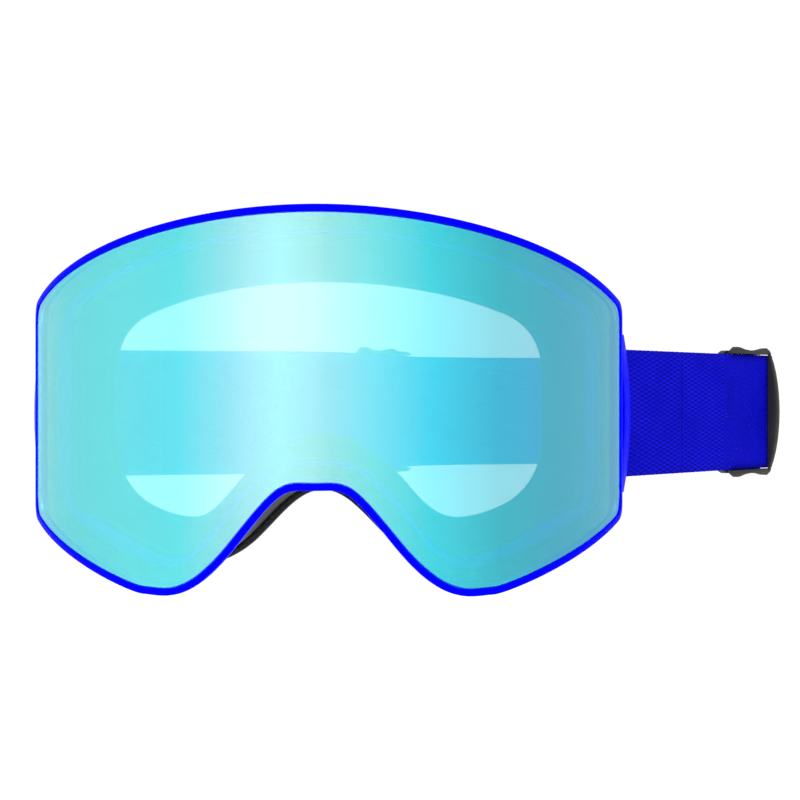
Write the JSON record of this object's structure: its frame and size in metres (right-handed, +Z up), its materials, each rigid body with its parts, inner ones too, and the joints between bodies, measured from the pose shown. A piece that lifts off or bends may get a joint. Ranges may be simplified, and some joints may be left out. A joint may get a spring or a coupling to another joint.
{
  "type": "ski goggles",
  "caption": "Frameless-look cylindrical ski goggles with a cyan mirror double lens, magnetic lens swap, layered face foam, hinged outriggers and an adjustable woven strap.",
  "frame": {"origin": "on the wearer's eye line, at the middle of the face foam, where the goggles sit on the face", "axes": "+X to the right seen from the front, +Y back towards the wearer's head, +Z up."},
  "size_m": [0.2488, 0.2122, 0.1089],
  "materials": {
    "face_frame": "dark grey soft-touch TPU",
    "foam_base": "open-cell foam",
    "foam_middle": "open-cell foam",
    "foam_fleece": "brushed fleece",
    "vent_foam_top": "open-cell foam",
    "vent_foam_low_left": "open-cell foam",
    "vent_foam_low_right": "open-cell foam",
    "frame_magnet_top_left": "plain",
    "frame_magnet_top_right": "plain",
    "frame_magnet_corner_left": "plain",
    "frame_magnet_corner_right": "plain",
    "frame_magnet_cheek_left": "plain",
    "frame_magnet_cheek_right": "plain",
    "hinge_pin_left": "plain",
    "hinge_pin_right": "plain",
    "strap": "woven elastic webbing",
    "strap_return_left": "woven elastic webbing",
    "strap_return_right": "woven elastic webbing",
    "lens_rim": "bright blue, smooth",
    "outer_lens": "cyan mirror coat",
    "inner_lens": "clear, anti-fog",
    "lens_gasket": "closed-cell foam",
    "rim_magnet_top_left": "plain",
    "rim_magnet_top_right": "plain",
    "rim_magnet_corner_left": "plain",
    "rim_magnet_corner_right": "plain",
    "rim_magnet_cheek_left": "plain",
    "rim_magnet_cheek_right": "plain",
    "outrigger_right": "bright blue, smooth",
    "strap_loop_right": "woven elastic webbing",
    "outrigger_left": "bright blue, smooth",
    "strap_loop_left": "woven elastic webbing",
    "strap_slider_right": "dark grey nylon",
    "strap_sewn_end_right": "woven elastic webbing",
    "strap_slider_left": "dark grey nylon",
    "strap_sewn_end_left": "woven elastic webbing"
  },
  "bodies": {
    "face_frame_body": {"face_frame": "face_frame", "foam_base": "foam_base", "foam_middle": "foam_middle", "foam_fleece": "foam_fleece", "vent_foam_top": "vent_foam_top", "vent_foam_low_left": "vent_foam_low_left", "vent_foam_low_right": "vent_foam_low_right", "frame_magnet_top_left": "frame_magnet_top_left", "frame_magnet_top_right": "frame_magnet_top_right", "frame_magnet_corner_left": "frame_magnet_corner_left", "frame_magnet_corner_right": "frame_magnet_corner_right", "frame_magnet_cheek_left": "frame_magnet_cheek_left", "frame_magnet_cheek_right": "frame_magnet_cheek_right", "hinge_pin_left": "hinge_pin_left", "hinge_pin_right": "hinge_pin_right", "strap": "strap", "strap_return_left": "strap_return_left", "strap_return_right": "strap_return_right"},
    "lens_module": {"lens_rim": "lens_rim", "outer_lens": "outer_lens", "inner_lens": "inner_lens", "lens_gasket": "lens_gasket", "rim_magnet_top_left": "rim_magnet_top_left", "rim_magnet_top_right": "rim_magnet_top_right", "rim_magnet_corner_left": "rim_magnet_corner_left", "rim_magnet_corner_right": "rim_magnet_corner_right", "rim_magnet_cheek_left": "rim_magnet_cheek_left", "rim_magnet_cheek_right": "rim_magnet_cheek_right"},
    "outrigger_right_arm": {"outrigger_right": "outrigger_right", "strap_loop_right": "strap_loop_right"},
    "outrigger_left_arm": {"outrigger_left": "outrigger_left", "strap_loop_left": "strap_loop_left"},
    "slider_right_unit": {"strap_slider_right": "strap_slider_right", "strap_sewn_end_right": "strap_sewn_end_right"},
    "slider_left_unit": {"strap_slider_left": "strap_slider_left", "strap_sewn_end_left": "strap_sewn_end_left"}
  },
  "joints": [
    {"name": "lens_release", "type": "slide", "parent": "face_frame_body", "child": "lens_module", "axis": [0, -1, 0], "range_m": [0, 0.05]},
    {"name": "outrigger_right", "type": "hinge", "parent": "face_frame_body", "child": "outrigger_right_arm", "pos_m": [0.085, 0.0325, -0.0044], "axis": [0, 0, 1], "range_deg": [-20, 8]},
    {"name": "outrigger_left", "type": "hinge", "parent": "face_frame_body", "child": "outrigger_left_arm", "pos_m": [-0.085, 0.0325, -0.0044], "axis": [0, 0, 1], "range_deg": [-8, 20]},
    {"name": "slider_right", "type": "slide", "parent": "face_frame_body", "child": "slider_right_unit", "axis": [-0.5574, -0.8303, 0], "range_m": [0, 0.03]},
    {"name": "slider_left", "type": "slide", "parent": "face_frame_body", "child": "slider_left_unit", "axis": [-0.3992, -0.9168, 0], "range_m": [0, 0.02]}
  ]
}
